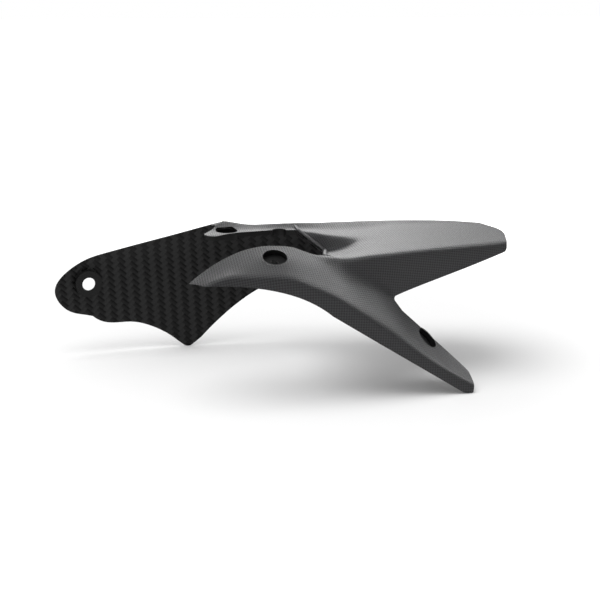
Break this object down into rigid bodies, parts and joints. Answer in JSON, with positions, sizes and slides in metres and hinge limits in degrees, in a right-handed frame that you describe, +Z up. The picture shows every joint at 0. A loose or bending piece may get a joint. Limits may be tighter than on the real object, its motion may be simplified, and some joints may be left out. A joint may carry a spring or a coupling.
{
  "type": "rear mudguard",
  "caption": "Moulded rear hugger mudguard: a broad blade over the tyre that forks into a hanging side panel and a dropped arm, with sunk bolt seats.",
  "frame": {"origin": "in the flange bolt hole, halfway through the floor of its seat", "axes": "+X to the rear along the blade, +Y across to the right-hand side that carries the panel, +Z up"},
  "size_m": [0.412, 0.1961, 0.128],
  "materials": {
    "laminate": "matte woven laminate"
  },
  "bodies": {
    "root": {"mudguard_shell": "laminate"}
  },
  "joints": []
}
